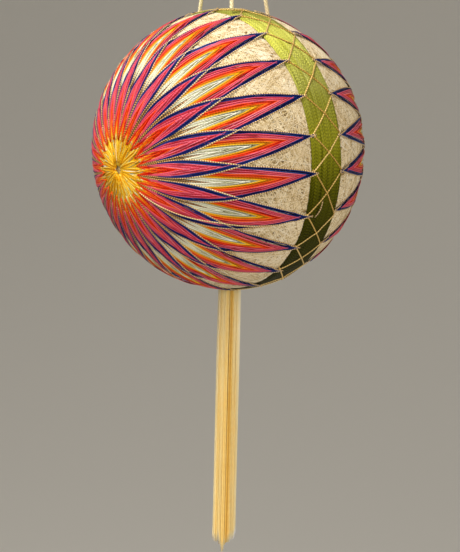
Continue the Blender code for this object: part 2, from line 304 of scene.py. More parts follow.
def node_group(name, inputs, outputs):
    """A new shader group with the given sockets: (name, socket type, default)."""
    group = bpy.data.node_groups.new(name, "ShaderNodeTree")
    for socket, kind, default in inputs:
        made = group.interface.new_socket(name=socket, in_out="INPUT", socket_type=kind)
        made.default_value = default
    for socket, kind in outputs:
        group.interface.new_socket(name=socket, in_out="OUTPUT", socket_type=kind)
    return group, group.nodes.new("NodeGroupInput"), group.nodes.new("NodeGroupOutput")


def math_node(tree, operation, first, second=None, third=None):
    """A Math node fed with sockets or plain numbers; gives its result socket."""
    node = tree.nodes.new("ShaderNodeMath")
    node.operation = operation
    for place, value in enumerate((first, second, third)):
        if value is None:
            continue
        if isinstance(value, (int, float)):
            node.inputs[place].default_value = value
        else:
            tree.links.new(value, node.inputs[place])
    return node.outputs[0]


def attribute_value(tree, name):
    node = tree.nodes.new("ShaderNodeAttribute")
    node.attribute_name = name
    return node.outputs["Fac"]


def spun_thread_group():
    """The finish of spun thread. The plies wind round it: a sine of the length over the ply
    pitch plus the turn. The groove between plies is darker, as painted shade. Tint and a soft
    noise over the piece set how deep the colour is: the colour to the power of 1 - 1.5 x the
    two. The noise is patchy dye; the tint is random dye, and painted light and shade where a
    piece sets it so. A tint under zero also darkens the thread, by half as much. Edge Shade
    paints shade on the thread's sides, by the square of the way round from its top."""
    group = bpy.data.node_groups.get("spun thread")
    if group:
        return group
    group, given, result = node_group(
        "spun thread",
        [("Colour", "NodeSocketColor", (0.8, 0.8, 0.8, 1.0)),
         ("Groove", "NodeSocketColor", (0.3, 0.3, 0.3, 1.0)),
         ("Ply Pitch", "NodeSocketFloat", 1.0), ("Groove Depth", "NodeSocketFloat", 0.5),
         ("Ply Turn", "NodeSocketFloat", 1.0), ("Edge Shade", "NodeSocketFloat", 0.0),
         ("Tint Spread", "NodeSocketFloat", 1.0), ("Dye Patches", "NodeSocketFloat", 0.15)],
        [("Colour", "NodeSocketColor"), ("Height", "NodeSocketFloat")])
    turns = math_node(group, "DIVIDE", attribute_value(group, "along"), given.outputs["Ply Pitch"])
    around = attribute_value(group, "around")
    turned = math_node(group, "MULTIPLY_ADD", around, given.outputs["Ply Turn"], turns)
    phase = math_node(group, "MULTIPLY", turned, math.tau)
    ply = math_node(group, "MULTIPLY_ADD", math_node(group, "SINE", phase), 0.5, 0.5)
    groove = math_node(group, "MULTIPLY", math_node(group, "POWER", ply, 1.5), given.outputs["Groove Depth"])
    mixed = group.nodes.new("ShaderNodeMix")
    mixed.data_type = "RGBA"
    group.links.new(groove, mixed.inputs["Factor"])
    group.links.new(given.outputs["Colour"], mixed.inputs["A"])
    group.links.new(given.outputs["Groove"], mixed.inputs["B"])
    coords = group.nodes.new("ShaderNodeTexCoord")
    noise = group.nodes.new("ShaderNodeTexNoise")
    noise.inputs["Scale"].default_value = 160.0
    noise.inputs["Detail"].default_value = 3.0
    group.links.new(coords.outputs["Object"], noise.inputs["Vector"])
    patches = math_node(group, "MULTIPLY", math_node(group, "SUBTRACT", noise.outputs["Fac"], 0.5),
                        given.outputs["Dye Patches"])
    tinted = math_node(group, "MULTIPLY_ADD", attribute_value(group, "tint"), given.outputs["Tint Spread"], patches)
    off_top = math_node(group, "ABSOLUTE", math_node(group, "SUBTRACT", around, 0.4))
    edge = math_node(group, "POWER", math_node(group, "MULTIPLY", off_top, 2.5), 2.0)
    shaded = math_node(group, "MULTIPLY", edge, given.outputs["Edge Shade"])
    in_shade = math_node(group, "MULTIPLY_ADD", math_node(group, "MINIMUM", tinted, 0.0), 0.5, 1.0)
    bright = math_node(group, "MULTIPLY", math_node(group, "SUBTRACT", 1.0, shaded), in_shade)
    dyed = group.nodes.new("ShaderNodeGamma")
    group.links.new(mixed.outputs["Result"], dyed.inputs["Color"])
    group.links.new(math_node(group, "MULTIPLY_ADD", tinted, -1.5, 1.0), dyed.inputs["Gamma"])
    scaled = group.nodes.new("ShaderNodeVectorMath")
    scaled.operation = "SCALE"
    group.links.new(dyed.outputs["Color"], scaled.inputs[0])
    group.links.new(bright, scaled.inputs["Scale"])
    group.links.new(scaled.outputs["Vector"], result.inputs["Colour"])
    group.links.new(math_node(group, "SUBTRACT", 1.0, ply), result.inputs["Height"])
    return group


def thread_material(name, colour, shade=0.45, pitch=0.9, groove=0.35, spread=1.0, patches=0.2,
                    roughness=0.5, metallic=0.0, sheen=0.25, bump=0.08, painted_groove_shade=None,
                    turn=1.0, edge=0.0, gloss=0.35, sheen_tint=(1.0, 1.0, 1.0)):
    """Spun thread: the group's colour on a Principled shader, with its plies as a bump."""
    material = bpy.data.materials.get(name)
    if material:
        return material
    material = bpy.data.materials.new(name)
    material.use_nodes = True
    tree = material.node_tree
    shader = tree.nodes["Principled BSDF"]
    finish = tree.nodes.new("ShaderNodeGroup")
    finish.node_tree = spun_thread_group()
    # Painted shade in the grooves between plies: the given colour, or the thread's colour times shade.
    dark = painted_groove_shade or [channel * shade for channel in colour]
    finish.inputs["Colour"].default_value = (*colour, 1.0)
    finish.inputs["Groove"].default_value = (*dark, 1.0)
    finish.inputs["Ply Pitch"].default_value = pitch
    finish.inputs["Ply Turn"].default_value = turn
    finish.inputs["Edge Shade"].default_value = edge
    finish.inputs["Groove Depth"].default_value = groove
    finish.inputs["Tint Spread"].default_value = spread
    finish.inputs["Dye Patches"].default_value = patches
    tree.links.new(finish.outputs["Colour"], shader.inputs["Base Color"])
    relief = tree.nodes.new("ShaderNodeBump")
    relief.inputs["Strength"].default_value = 0.6
    relief.inputs["Distance"].default_value = bump * MM
    tree.links.new(finish.outputs["Height"], relief.inputs["Height"])
    tree.links.new(relief.outputs["Normal"], shader.inputs["Normal"])
    shader.inputs["Roughness"].default_value = roughness
    shader.inputs["Metallic"].default_value = metallic
    shader.inputs["Specular IOR Level"].default_value = gloss
    shader.inputs["Sheen Weight"].default_value = sheen
    shader.inputs["Sheen Roughness"].default_value = 0.4
    shader.inputs["Sheen Tint"].default_value = (*sheen_tint, 1.0)
    return material


def cream_material():
    ball = bpy.context.scene.temari_ball
    return thread_material("cream wound thread", ball.cream, painted_groove_shade=tuple(ball.cream_shade),
                           pitch=0.8, groove=0.3, spread=1.0, patches=0.6, roughness=0.75, sheen=0.1, edge=0.45)


# The chart of a flower's rows.

Band = namedtuple("Band", "name rows tip offsets stitch thick start", defaults=(1.0, 0.0))

# Each band's outermost row: where its tip and its stitch near the middle lie (degrees from
# the middle) and how many lines it has moved off its own guide line at each station. A
# value under zero lies past the tip, and only sets the slope there. The arms of a band with
# a start go down under the gold there, before they reach their stitch.
STATIONS = (76.0, 70.0, 64.0, 58.0, 51.5, 45.5, 36.5, 30.0, 27.0, 23.0, 19.0, 15.0)
FIRST_ROW = Band("start", 0, 39.5, (
    -0.34, -0.29, -0.23, -0.17, -0.10, -0.05, 0.025, 0.06, 0.08, 0.11, 0.15, 0.20), 6.0)
BANDS = (
    Band("white", 4, 59.8, (
        -0.27, -0.17, -0.07, 0.025, 0.085, 0.125, 0.175, 0.21, 0.23, 0.26, 0.30, 0.36), 6.5),
    Band("yellow", 2, 64.6, (
        -0.19, -0.09, 0.008, 0.08, 0.145, 0.19, 0.245, 0.285, 0.305, 0.345, 0.40, 0.47), 3.4),
    Band("orange", 1, 66.4, (
        -0.16, -0.06, 0.035, 0.11, 0.17, 0.215, 0.285, 0.335, 0.36, 0.41, 0.47, 0.545), 11.6),
    Band("red", 3, 71.3, (
        -0.08, 0.02, 0.105, 0.185, 0.235, 0.285, 0.41, 0.495, 0.55, 0.66, 0.77, 0.86), 12.4, 1.05),
    Band("pink", 5, 77.3, (
        0.022, 0.115, 0.215, 0.315, 0.415, 0.51, 0.64, 0.76, 0.805, 0.84, 0.85, 0.86), 9.0, 1.0, 16.5),
    Band("blue", 3, 81.2, (
        0.105, 0.205, 0.305, 0.39, 0.50, 0.607, 0.78, 0.875, 0.90, 0.91, 0.91, 0.91), 9.0, 1.0, 21.0),
    Band("gold", 1, 82.4, (
        0.135, 0.235, 0.333, 0.415, 0.535, 0.65, 0.832, 0.925, 0.943, 0.95, 0.95, 0.945), 8.0, 1.15, 12.3),
)
TIP_SLOPE = 0.0185                  # lines for each degree, close to a tip
ROW_SHADES = (-0.46, 0.06)          # painted shade between rows: tint of the even and the odd rows of a band
ANGLE_LIGHT_AND_SHADE = {                     # painted light and shade: more tint at 10, 26 and 36 degrees from the middle
    "yellow": (0.16, -0.10, -0.10), "gold": (-0.45, -0.30, 0.04), "white": (0.0, 0.0, 0.08),
    "orange": (0.0, -0.45, 0.0),
}

# The petals whose tips and forks sit off their guide lines, in lines, as sewn.
FRONT_SHIFTS = {1: -0.03, 2: -0.02, 3: -0.01, 4: -0.02, 5: -0.10, 6: 0.03, 7: 0.0, 8: -0.03}
BACK_SHIFTS = {0: -0.45, 1: -0.06}


# How far the front flower's pattern leans round the ball, in lines, as sewn: at each line,
# near the eye and at the forks. The lean fades out at the tips and on the far side.
LEAN_LINES = (-3, -2, -1, 0, 1, 2, 3, 4, 5, 6, 7, 8, 9, 10, 12)
LEAN_EYE = (0.0, -0.12, -0.25, -0.28, -0.30, -0.29, -0.15, -0.03, 0.05, 0.05, 0.03, 0.02, 0.03, 0.02, 0.0)
LEAN_FORK = (0.0, -0.16, -0.29, -0.25, -0.18, -0.12, -0.04, 0.0, 0.02, 0.04, 0.03, 0.01, -0.01, 0.0, 0.0)


def lean(line, degrees):
    """The lean at a place: straight between the lines, and between 26, 53 and 81 degrees."""
    eye = np.interp(line, LEAN_LINES, LEAN_EYE, period=PETALS)
    fork = np.interp(line, LEAN_LINES, LEAN_FORK, period=PETALS)
    outer = np.clip((degrees - 53.0) / 28.0, 0.0, 1.0)
    inner = np.clip((degrees - 26.0) / 27.0, 0.0, 1.0)
    return (eye + (fork - eye) * inner) * (1.0 - outer)


def chart_curve(band, degrees):
    """A row's offset in lines at each angle: straight between the stations, carried on past
    the tip at the tip's slope and in to one whole line at the stitch, then blurred."""
    known = [(band.stitch, 1.0)] + sorted(zip(STATIONS, band.offsets))
    last_angle, last_value = known[-1]
    known.append((90.0, last_value - TIP_SLOPE * (90.0 - last_angle)))
    angles, values = zip(*[pair for pair in known if pair[0] >= band.stitch])
    raw = np.interp(degrees, angles, values)
    beyond = degrees < band.stitch
    raw[beyond] = 1.0 + 0.10 * (band.stitch - degrees[beyond])
    reach = 8
    weights = np.exp(-0.5 * (np.arange(-reach, reach + 1) / 3.5) ** 2)
    padded = np.pad(raw, reach, mode="reflect", reflect_type="odd")
    return np.convolve(padded, weights / weights.sum(), mode="valid")


class HeightField:
    """How high the stitching stands over the wound thread, on a flat map of half the ball.

    A point theta from the middle lies theta times the mean radius from the map's centre. The
    map stretches round the ball by theta over its sine, so a thread's footprint is measured
    with its sideways part shrunk by that much."""

    def __init__(self, cell, reach, radius):
        self.cell = cell
        self.radius = radius
        self.half = int(reach / cell) + 4
        self.height = np.zeros((2 * self.half + 1, 2 * self.half + 1))

    def footprint(self, theta, phi, wide, high):
        """The map cells under each thread point and the thread's own half height over each."""
        x = self.radius * theta * np.cos(phi) / self.cell
        y = self.radius * theta * np.sin(phi) / self.cell
        spread = np.arange(-2, 3)
        gx, gy = np.meshgrid(spread, spread)
        ix = np.rint(x)[..., None].astype(int) + gx.ravel()
        iy = np.rint(y)[..., None].astype(int) + gy.ravel()
        dx = ix - x[..., None]
        dy = iy - y[..., None]
        away = dx * np.cos(phi)[..., None] + dy * np.sin(phi)[..., None]
        round_about = dy * np.cos(phi)[..., None] - dx * np.sin(phi)[..., None]
        round_about = round_about * (np.sin(theta) / theta)[..., None]
        part = 1.0 - (away ** 2 + round_about ** 2) * (self.cell / (wide / 2)) ** 2
        own = high / 2 * np.sqrt(np.maximum(part, 0.0))
        return iy + self.half, ix + self.half, own, part

    def rest(self, feet):
        """The height of a thread's middle when it rests on what is under its middle part.
        Its sides are soft and squeeze in beside the thread laid before."""
        iy, ix, own, part = feet
        return np.where(part > 0.72, self.height[iy, ix] + own, 0.0).max(axis=-1)

    def lay(self, feet, middle):
        """Raises the map to the top of a thread."""
        iy, ix, own, part = feet
        inside = part > 0.0
        top = middle[..., None] + own
        np.maximum.at(self.height, (iy[inside], ix[inside]), top[inside])

    def buried(self, feet, middle):
        """How far the lowest spot over a thread's footprint stands above the thread's top."""
        iy, ix, own, part = feet
        over = self.height[iy, ix] - (middle[..., None] + own)
        return np.where(part > 0.0, over, 9.0).min(axis=-1)


def taut(heights, step, bend):
    """A pulled thread bridges what it crosses: each point is at least as high as every
    neighbour less the square of their distance over twice the bend radius. Then a short
    running mean takes off the corners."""
    out = heights.copy()
    for shift in range(1, 10):
        drop = (shift * step) ** 2 / (2 * bend)
        out[:, shift:] = np.maximum(out[:, shift:], heights[:, :-shift] - drop)
        out[:, :-shift] = np.maximum(out[:, :-shift], heights[:, shift:] - drop)
    padded = np.pad(out, ((0, 0), (2, 2)), mode="edge")
    return (padded[:, :-4] + padded[:, 1:-3] + padded[:, 2:-2] + padded[:, 3:-1] + padded[:, 4:]) / 5


def soft_limit(heights, limit):
    """Packs high piles down: limit x (1 - e^(-height / limit))."""
    return limit * (1.0 - np.exp(-heights / limit))


# The flower's eye was sewn a little below the ball's own pole.
EYE_DOWN = math.radians(0.67)
EYE_RIGHT = math.radians(0.2)


def about_eye(theta, phi):
    """Moves the rows near the middle with the flower's eye: theta grows by the eye's place
    along its own direction and phi turns by the place across it over sine theta. The move
    fades out towards the petals' forks."""
    fade = np.clip((math.radians(60.0) - theta) / math.radians(45.0), 0.0, 1.0)
    away = -EYE_DOWN * np.cos(phi) + EYE_RIGHT * np.sin(phi)
    across = EYE_DOWN * np.sin(phi) + EYE_RIGHT * np.cos(phi)
    moved = np.maximum(theta + away * fade, math.radians(0.4))
    return moved, phi + np.clip(across * fade / np.sin(theta), -0.6, 0.6)


def petal_shifts(front, rng):
    """How far each petal's tip sits off its guide line, in lines."""
    shifts = rng.normal(0.0, 0.025, PETALS)
    for petal, shift in (FRONT_SHIFTS if front else BACK_SHIFTS).items():
        shifts[petal] = shift
    return shifts


def stitch_flower(front, rng):
    """Stitches one flower row by row, from the innermost white to the gold outline, each row
    as its left arms and then its right arms. Gives the dense arms of every band."""
    ball, flower = bpy.context.scene.temari_ball, bpy.context.scene.temari_flower
    radius = (ball.wrap_radius + ball.wrap_polar) / 2 + flower.seat
    field = HeightField(0.12 * MM, radius * math.radians(84.0), radius)
    raise_belt_edge(field)
    shifts = petal_shifts(front, rng)
    lines = np.arange(PETALS)
    drift = rng.normal(0.0, 1.0, (2, PETALS, 3))
    waves = rng.uniform(0.0, math.tau, (2, PETALS, 3))
    step_degrees = 0.32
    previous, laid = FIRST_ROW, []
    for band in BANDS:
        for row in range(1, band.rows + 1):
            share = row / band.rows
            row_noise = rng.normal(0.0, 1.0, (2, PETALS, 2))
            tint = np.clip(rng.normal(0.0, 0.05), -0.09, 0.05)
            for arm in (0, 1):
                stitch = previous.stitch + (band.stitch - previous.stitch) * share
                degrees = np.arange(max(stitch - 0.5, band.start), 84.0, step_degrees)
                inner, outer = chart_curve(previous, degrees), chart_curve(band, degrees)
                offset = inner + (outer - inner) * share
                degrees = degrees[offset > -0.022]
                offset = offset[offset > -0.022]
                theta = np.radians(degrees)
                sign = 1.0 if arm else -1.0
                tipward = np.clip((degrees - 40.0) / 40.0, 0.0, 1.0) ** 1.5
                line = lines[:, None] + shifts[:, None] * tipward + sign * offset
                line += lean(line, degrees) if front else 0.0
                ripple = sum(
                    0.09 * MM * drift[arm, :, n, None] * np.sin((n + 1) * 2.2 * theta + waves[arm, :, n, None])
                    for n in range(3))
                ripple += 0.035 * MM * row_noise[arm, :, :1] * np.sin(5.0 * theta + row_noise[arm, :, 1:] * 3.0)
                phi = FIRST_LINE + line * PITCH + ripple / (radius * np.sin(theta))
                theta, phi = about_eye(np.broadcast_to(theta, phi.shape), phi)
                wide, high = flower.thread_wide * band.thick, flower.thread_high * band.thick
                feet = field.footprint(theta, phi, wide, high)
                step = math.radians(step_degrees) * radius
                middle = taut(field.rest(feet), step, 5 * MM)
                middle[:, :4] -= (0.35 * MM, 0.22 * MM, 0.11 * MM, 0.04 * MM)
                middle[:, -1] -= 0.35 * MM
                field.lay(feet, middle)
                # Painted shade between rows: every second row of a band is darker, more so from 42 to 52 degrees
                # out, less on the blue; then painted light and shade by angle.
                deep = ROW_SHADES[row % 2] * (band.rows > 1) * np.interp(degrees, (42.0, 52.0), (0.75, 1.3))
                deep = deep * (0.6 if band.name == "blue" else 1.0)
                arm_tint = tint + rng.normal(0.0, 0.05, (PETALS, 1)) + deep + np.zeros_like(phi)
                arm_tint += np.interp(degrees, (10.0, 26.0, 36.0), ANGLE_LIGHT_AND_SHADE.get(band.name, (0.0, 0.0, 0.0)))
                laid.append((band.name, theta, phi, middle, feet, arm_tint))
        previous = band
    return field, laid


def eye_stitches(front, rng):
    """Short yellow stitches straight out from the eye, under all the rows."""
    flower = bpy.context.scene.temari_flower
    count, samples = 7 * PETALS, 9
    inner = np.radians(rng.uniform(1.5, 3.2, (count, 1)))
    theta = inner + (np.radians(rng.uniform(12.5, 16.5, (count, 1))) - inner) * np.linspace(0.0, 1.0, samples)
    phi = (np.arange(count)[:, None] + rng.normal(0.0, 0.2, (count, 1))) * math.tau / count + 0.0 * theta
    theta, phi = about_eye(theta, phi)
    if not front:
        theta = math.pi - theta
    lift = flower.seat + 0.25 * MM + rng.uniform(0.0, 0.20 * MM, (count, 1)) + 0.0 * theta
    points = on_ball(theta, phi, lift).reshape(-1, 3)
    runs = np.repeat(np.arange(count), samples)
    tint = np.repeat(rng.normal(0.0, 0.22, count), samples)
    profile = laid_profile(1.1 * flower.thread_wide, 1.3 * flower.thread_high)
    name = "front_eye_stitches" if front else "back_eye_stitches"
    return thread_mesh(name, points, outward(theta, phi).reshape(-1, 3), runs, profile, tint, under=False)


def guide_threads(front, rng):
    """The gold guide threads of the 24 lines, laid twice over and seen between the arms."""
    samples = 18
    degrees = np.linspace(12.0, 41.0, samples)
    line = np.repeat(np.arange(PETALS), 2)[:, None] + np.tile((-1.0, 1.0), PETALS)[:, None] * 0.22 * MM / (
        49.0 * MM * np.sin(np.radians(degrees)) * PITCH)
    line = line + (lean(line, degrees) if front else 0.0)
    theta = np.broadcast_to(np.radians(degrees), line.shape)
    theta, phi = about_eye(theta, FIRST_LINE + line * PITCH)
    if not front:
        theta = math.pi - theta
    lift = np.interp(degrees, (12.0, 14.0, 22.0, 30.0, 41.0), (0.80, 0.98, 0.70, 0.45, 0.33)) * MM
    lift = lift + rng.uniform(0.0, 0.08 * MM, (2 * PETALS, 1))
    runs = np.repeat(np.arange(2 * PETALS), samples)
    # A dark tint: painted shade of the slots between the arms where they lie.
    tint = np.repeat(rng.normal(-0.60, 0.20, 2 * PETALS), samples)
    profile = laid_profile(0.38 * MM, 0.32 * MM)
    name = "front_guide_threads" if front else "back_guide_threads"
    return thread_mesh(name, on_ball(theta, phi, lift).reshape(-1, 3), outward(theta, phi).reshape(-1, 3),
                       runs, profile, tint, under=False)


def flower_thread(name):
    colour = tuple(getattr(bpy.context.scene.temari_flower, name))
    # Edge Shade is painted shade on the sides of each row, less on the yellow.
    edge = 0.25 if name == "yellow" else 0.8
    return thread_material(name + " thread", colour, roughness=0.4, metallic=0.2, sheen=0.0,
                           edge=edge, spread=1.2, gloss=0.12)


def raise_belt_edge(field):
    """The belt is bound before the flowers, so the map starts with its edge."""
    belt, flower = bpy.context.scene.temari_belt, bpy.context.scene.temari_flower
    size = np.arange(-field.half, field.half + 1) * field.cell
    x, y = np.meshgrid(size, size)
    theta = np.hypot(x, y) / field.radius
    share = np.clip((theta - belt.front) / math.radians(0.5), 0.0, 1.0)
    field.height = share * (belt.top - flower.seat)


def seen_runs(seen):
    """Numbers each unbroken stretch of seen points, row by row, each a point longer at both
    ends. Gives the flat places of those points and their run numbers."""
    grown = seen.copy()
    grown[:, 1:] |= seen[:, :-1]
    grown[:, :-1] |= seen[:, 1:]
    start = grown.copy()
    start[:, 1:] &= ~grown[:, :-1]
    flat = np.flatnonzero(grown)
    return flat, np.cumsum(start.ravel()[flat])


# How deep the pulled rows sink in the soft wrap, in millimetres, by degrees from the
# middle. They rise again on to the belt's edge.
SINK_ANGLES = (46.0, 54.0, 77.0, 80.5, 84.0)
SINKS = (0.0, 0.10, 0.10, -0.12, -0.25)


def band_object(front, name, field, laid, keep_every):
    """One band's rows as one mesh, without the stretches that later rows bury."""
    flower = bpy.context.scene.temari_flower
    parts, last_run = [], 0
    for _, theta, phi, middle, feet, tint in (item for item in laid if item[0] == name):
        places = np.unique(np.r_[np.arange(0, theta.shape[1], keep_every), theta.shape[1] - 1])
        seen = field.buried(feet, middle) < 0.22 * MM
        flat, runs = seen_runs(seen[:, places])
        columns = [grid[:, places].ravel()[flat] for grid in (theta, phi, middle, tint)]
        parts.append((*columns, runs + last_run))
        last_run = parts[-1][-1].max()
    theta, phi, middle, tint, runs = (np.concatenate(column) for column in zip(*parts))
    if not front:
        theta = math.pi - theta
    sink = np.interp(np.degrees(np.minimum(theta, math.pi - theta)), SINK_ANGLES, SINKS) * MM
    lift = flower.seat + soft_limit(middle, 0.65 * MM) - sink
    thick = {band.name: band.thick for band in BANDS}[name]
    profile = laid_profile(flower.thread_wide * thick, flower.thread_high * thick)
    side = "front" if front else "back"
    return thread_mesh(f"{side}_{name}_rows", on_ball(theta, phi, lift), outward(theta, phi), runs, profile, tint,
                       under=False)


class TEMARI_OT_flowers(bpy.types.Operator):
    """Stitch the flower on each side of the ball"""

    bl_idname = "temari.flowers"
    bl_label = "Stitch Flowers"

    def execute(self, context):
        for front, seed in ((True, 11), (False, 23)):
            rng = np.random.default_rng(seed)
            node = "kiku_front" if front else "kiku_back"
            dress(eye_stitches(front, rng), flower_thread("yellow"), node)
            dress(guide_threads(front, rng), gold_material(), node)
            field, laid = stitch_flower(front, rng)
            for band in BANDS:
                piece = band_object(front, band.name, field, laid, 6)
                gold = band.name == "gold"
                material = gold_material() if gold else flower_thread(band.name)
                dress(piece, material, node)
        slipped_threads()
        return {"FINISHED"}


# Two gold threads that slipped off their rows: points as degrees from the middle and lines.
SLIPPED = ((14.0, 7.10), (17.6, 7.05), (22.5, 6.97), (27.3, 6.87), (35.9, 6.69), (43.4, 6.54), (47.6, 6.47),
           (56.2, 6.39), (66.9, 6.28), (69.0, 6.27))
SLIPPED_LIFTS = (1.3, 1.42, 1.45, 1.45, 1.45, 1.42, 1.35, 1.25, 0.95, 0.6)
STRAY = ((88.2, 5.65), (87.4, 5.82), (86.6, 5.95), (85.8, 6.08))
STRAY_LIFTS = (0.9, 1.3, 1.35, 0.9)


def slipped_threads():
    """Each slipped thread follows its points with a smooth curve and lies over the rows. Its
    lifts are millimetres over the wound thread."""
    flower = bpy.context.scene.temari_flower
    for name, table, lifts, node in (
            ("slipped_gold_thread", SLIPPED, SLIPPED_LIFTS, "kiku_front"),
            ("stray_gold_thread", STRAY, STRAY_LIFTS, "belt_thread_a")):
        table = np.array(table)
        knots = np.arange(len(table))
        place = np.linspace(0, len(table) - 1, 16 * len(table))
        columns = (table[:, 0], table[:, 1], np.array(lifts))
        theta, line, lift = (smooth_curve(knots, values, place) for values in columns)
        theta, phi = np.radians(theta), FIRST_LINE + line * PITCH
        points = on_ball(theta, phi, lift * MM)
        piece = thread_mesh(name, points, outward(theta, phi), np.zeros(len(points)),
                            round_profile(6, 1.15 * flower.thread_wide), np.full(len(points), 0.08))
        dress(piece, gold_material(), node)


def smooth_curve(knots, values, place):
    """A curve through values at whole steps: Catmull and Rom's cubic of the four nearest."""
    padded = np.r_[2 * values[0] - values[1], values, 2 * values[-1] - values[-2]]
    cell = np.minimum(place.astype(int), len(knots) - 2)
    t = place - cell
    a, b, c, d = (padded[cell + n] for n in range(4))
    return b + 0.5 * t * (c - a + t * (2 * a - 5 * b + 4 * c - d + t * (3 * (b - c) + d - a)))


def gold_material():
    """Gold thread: bright plies by turns with dark brown painted shade in the grooves between
    them, which read as beads from a step away.
    """
    colour = tuple(bpy.context.scene.temari_flower.gold)
    return thread_material("gold thread", colour, pitch=0.8, groove=1.0, spread=1.2, patches=0.3,
                           roughness=0.34, metallic=0.2, sheen=0.0, bump=0.14, turn=0.2, edge=0.3,
                           painted_groove_shade=(0.10, 0.036, 0.008))


def lattice_material():
    """The lattice's gold is plumper than the outline rows', with less painted shade between its plies."""
    colour = tuple(bpy.context.scene.temari_belt.lattice_gold)
    return thread_material("bright gold thread", colour, pitch=0.9, groove=0.6, spread=1.0, patches=0.2,
                           roughness=0.34, metallic=0.25, sheen=0.0, bump=0.12, turn=0.4, edge=0.2,
                           painted_groove_shade=(0.26, 0.10, 0.015))


class TEMARI_OT_wound_ball(bpy.types.Operator):
    """Wind the core and its loose cream threads"""

    bl_idname = "temari.wound_ball"
    bl_label = "Wind Ball"

    def execute(self, context):
        wind_core()
        for front in (True, False):
            loose_threads(front, 31 if front else 37)
        return {"FINISHED"}


def wind_core():
    """The wound core: a flattened sphere, its radius varied by a few slow waves. Its tint is
    painted shade: dark all over, for the core only shows in the gaps under the stitching and
    the loose thread, darkest from 16 to 44 degrees, in the slots along the lines."""
    rows, columns = 81, 160
    theta = np.linspace(0.002, math.pi - 0.002, rows)[:, None]
    phi = np.arange(columns) * math.tau / columns
    phi = np.broadcast_to(phi, (rows, columns))
    theta = np.broadcast_to(theta, (rows, columns))
    wave = np.sin(7 * theta + 3 * phi) + np.sin(11 * theta - 5 * phi)
    points = on_ball(theta, phi, 0.12 * MM + 0.03 * MM * wave * np.sin(theta))
    core = grid_object("wound_core", points[::-1])
    degrees = np.degrees(np.minimum(theta, math.pi - theta))
    tint = np.interp(degrees, (3.5, 6.0, 13.0, 16.0, 44.0, 50.0), (-0.8, -0.9, -0.9, -1.4, -1.4, -0.9))
    point_attribute(core, "tint", tint[::-1].ravel())
    dress(core, cream_material(), "wound_ball")


def uncovered(theta, phi):
    """Where the wound thread shows: between the petals, and in the slots along the lines."""
    degrees = np.degrees(theta)
    lines = (phi - FIRST_LINE) / PITCH
    across = np.abs(lines - np.rint(lines))
    grid = np.linspace(0.0, 90.0, 361)
    petal = np.interp(degrees, grid, chart_curve(BANDS[-1], grid))
    between = (degrees > 49.0) & (degrees < 82.4) & (across > petal - 0.04)
    slots = (degrees > 13.0) & (degrees < 42.0) & (across < 0.22)
    return between | slots | (theta < EYE_OPENING)


EYE_OPENING = math.radians(4.4)
TURNS_IN_A_BUNCH = 3
BUNCH_SPREAD = 0.030                # how far a bunch's turns tilt from one another


def loose_threads(front, seed):
    """Cream thread wound at random, a few turns side by side at a time: great circles of the
    ball, point = a cos t + b sin t with a and b square to each other and to the turn's pole,
    kept only where the stitching leaves the ball bare."""
    ball = bpy.context.scene.temari_ball
    rng = np.random.default_rng(seed)
    count, samples = ball.loose_threads, 90
    bunch = np.arange(count) // TURNS_IN_A_BUNCH
    poles = unit(rng.normal(size=(bunch[-1] + 1, 3)))[bunch] + rng.normal(0.0, BUNCH_SPREAD, (count, 3))
    first = unit(np.cross(poles, rng.normal(size=(count, 3))))
    second = unit(np.cross(poles, first))
    turn = np.linspace(0.0, math.tau, samples)
    bow = rng.normal(0.0, 0.012, (count, 1)) * np.sin(2 * turn + rng.uniform(0, math.tau, (count, 1)))
    third = np.cross(first, second)
    place = (first[:, None] * np.cos(turn)[:, None] + second[:, None] * np.sin(turn)[:, None]
             + third[:, None] * bow[..., None])
    place = unit(place)
    theta = np.arccos(np.clip(-place[..., 2], -1.0, 1.0))
    phi = np.arctan2(place[..., 1], place[..., 0])
    seen = uncovered(theta, phi)
    flat, runs = seen_runs(seen)
    level = rng.uniform(0.22 * MM, 0.40 * MM, (count, 1)) + np.zeros_like(theta)
    tint = loose_tints(rng, count)[:, None] - 0.35 * (theta < EYE_OPENING)
    theta, phi, level, tint = (grid.ravel()[flat] for grid in (theta, phi, level, tint))
    if not front:
        theta = math.pi - theta
    name = "front_loose_threads" if front else "back_loose_threads"
    profile = np.array(((0.5, -0.3), (0.0, 0.5), (-0.5, -0.3))) * ball.loose_wide
    piece = thread_mesh(name, on_ball(theta, phi, level), outward(theta, phi), runs, profile, tint, under=False)
    dress(piece, cream_material(), "wound_ball")


def loose_tints(rng, count):
    """Most of the cream threads are pale; some are a good deal deeper."""
    pale = rng.normal(0.07, 0.12, count)
    return np.where(rng.random(count) < 0.38, rng.uniform(-0.80, -0.15, count), pale)


class TEMARI_OT_belt(bpy.types.Operator):
    """Bind the belt and lay the gold lattice over it"""

    bl_idname = "temari.belt"
    bl_label = "Bind Belt"

    def execute(self, context):
        bind_belt(context.scene.temari_belt)
        lay_lattice(context.scene.temari_belt)
        return {"FINISHED"}


